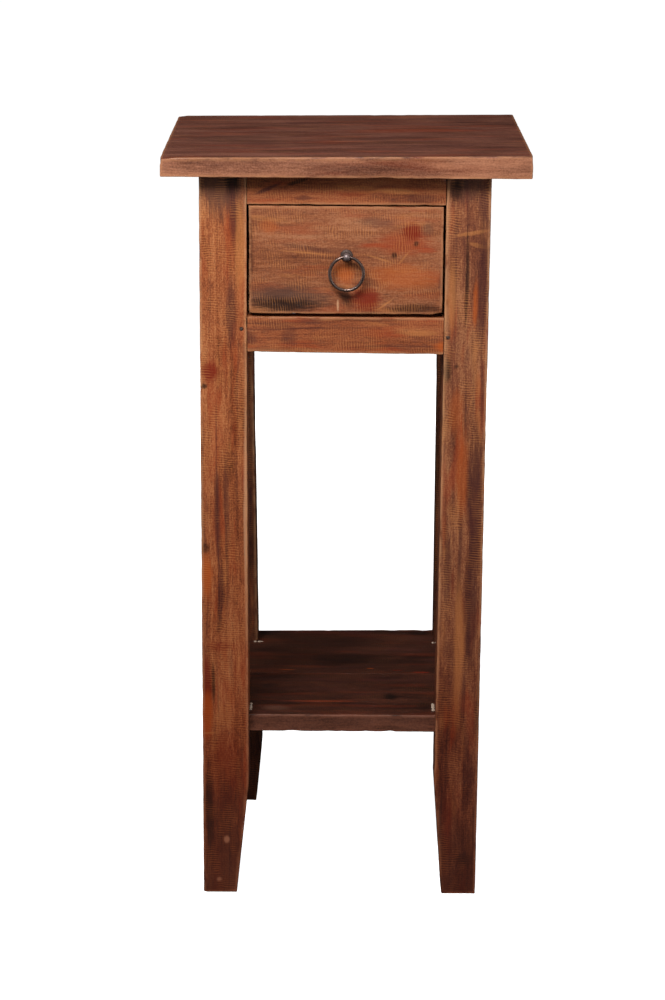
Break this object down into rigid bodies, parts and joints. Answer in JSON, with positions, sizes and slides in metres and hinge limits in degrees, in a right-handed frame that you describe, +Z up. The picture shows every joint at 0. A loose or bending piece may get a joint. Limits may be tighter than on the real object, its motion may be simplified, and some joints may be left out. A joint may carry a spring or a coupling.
{
  "type": "side table with drawer",
  "caption": "Narrow square side table on tapered legs, with an overhanging top, a drawer with a ring pull under it, and a low shelf between the legs.",
  "frame": {"origin": "centre of the bounding box at floor level, under the middle of the top", "axes": "+Z up; the drawer opens towards -Y; +X to the right of someone facing the drawer"},
  "size_m": [0.353, 0.306, 0.7638],
  "materials": {
    "leg_wood": "satin lacquer over brown-red stain, long dark grain streaks, saw ripples across the grain",
    "rail_wood": "satin lacquer over brown-red stain, dark smudges",
    "top_wood": "satin lacquer over dark brown stain, paler worn edges",
    "shelf_wood": "satin lacquer over very dark stain with red streaks",
    "drawer_front_wood": "satin lacquer over brown-orange stain with knots",
    "inner_wood": "bare planed wood, unstained",
    "plywood": "bare plywood",
    "iron": "dark rubbed iron",
    "steel": "dull steel"
  },
  "bodies": {
    "frame": {"back_apron": "rail_wood", "drawer_guide_left": "inner_wood", "drawer_guide_right": "inner_wood", "drawer_kicker_left": "inner_wood", "drawer_kicker_right": "inner_wood", "drawer_runner_left": "inner_wood", "drawer_runner_right": "inner_wood", "drawer_stop_left": "inner_wood", "drawer_stop_right": "inner_wood", "front_bottom_rail": "rail_wood", "front_top_rail": "rail_wood", "leg_back_left": "leg_wood", "leg_back_right": "leg_wood", "leg_front_left": "leg_wood", "leg_front_right": "leg_wood", "rail_nail_left": "steel", "rail_nail_right": "steel", "shelf_board_back": "shelf_wood", "shelf_board_front": "shelf_wood", "side_apron_left": "rail_wood", "side_apron_right": "rail_wood", "top_board_back": "top_wood", "top_board_front": "top_wood", "top_screw_back_left": "steel", "top_screw_back_right": "steel", "top_screw_front_left": "steel", "top_screw_front_right": "steel"},
    "drawer": {"drawer_back": "inner_wood", "drawer_bottom": "plywood", "drawer_bottom_nail_left": "steel", "drawer_bottom_nail_right": "steel", "drawer_front": "drawer_front_wood", "drawer_nail_left_back_high": "steel", "drawer_nail_left_back_low": "steel", "drawer_nail_left_front_high": "steel", "drawer_nail_left_front_low": "steel", "drawer_nail_right_back_high": "steel", "drawer_nail_right_back_low": "steel", "drawer_nail_right_front_high": "steel", "drawer_nail_right_front_low": "steel", "drawer_side_left": "inner_wood", "drawer_side_right": "inner_wood", "pull_nut": "steel", "pull_rose": "iron", "pull_stud": "iron", "pull_washer": "steel"},
    "ring": {"pull_ring": "iron"}
  },
  "joints": [
    {"name": "drawer_slide", "type": "slide", "parent": "frame", "child": "drawer", "axis": [0, -1, 0], "range_m": [0, 0.18]},
    {"name": "ring_swing", "type": "hinge", "parent": "drawer", "child": "ring", "pos_m": [0.001, -0.142, 0.6645], "axis": [-1, 0, 0], "range_deg": [-10, 188]}
  ]
}
